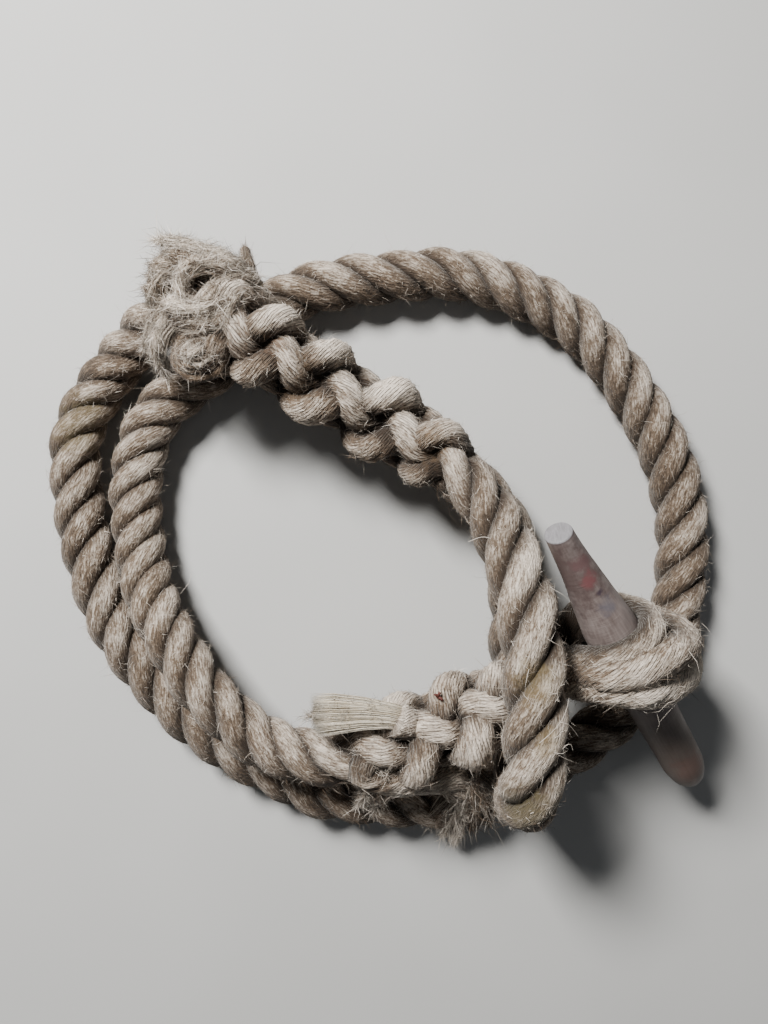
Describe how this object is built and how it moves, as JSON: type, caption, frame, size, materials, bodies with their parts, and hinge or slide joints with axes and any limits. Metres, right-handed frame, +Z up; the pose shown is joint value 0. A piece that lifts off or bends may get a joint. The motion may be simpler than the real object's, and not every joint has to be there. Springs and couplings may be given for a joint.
{
  "type": "frayed toggle rope",
  "caption": "Laid jute rope lying in a loose coil, with a large spliced eye, a small spliced eye that grips a whittled wooden toggle, and frayed strand ends.",
  "frame": {"origin": "middle of the coil's footprint, on the surface it lies on", "axes": "+X along the coil's longest side, +Y towards the frayed end of the large eye's splice, +Z up"},
  "size_m": [0.3194, 0.2932, 0.0911],
  "materials": {
    "jute": "matt, hairy, laid jute or hemp strands, pale on their crowns and brown in the grooves",
    "toggle_wood": "bare handled wood, greyed, with a reddish stain and a sawn end"
  },
  "bodies": {
    "root": {"rope": "jute", "toggle": "toggle_wood"}
  },
  "joints": []
}
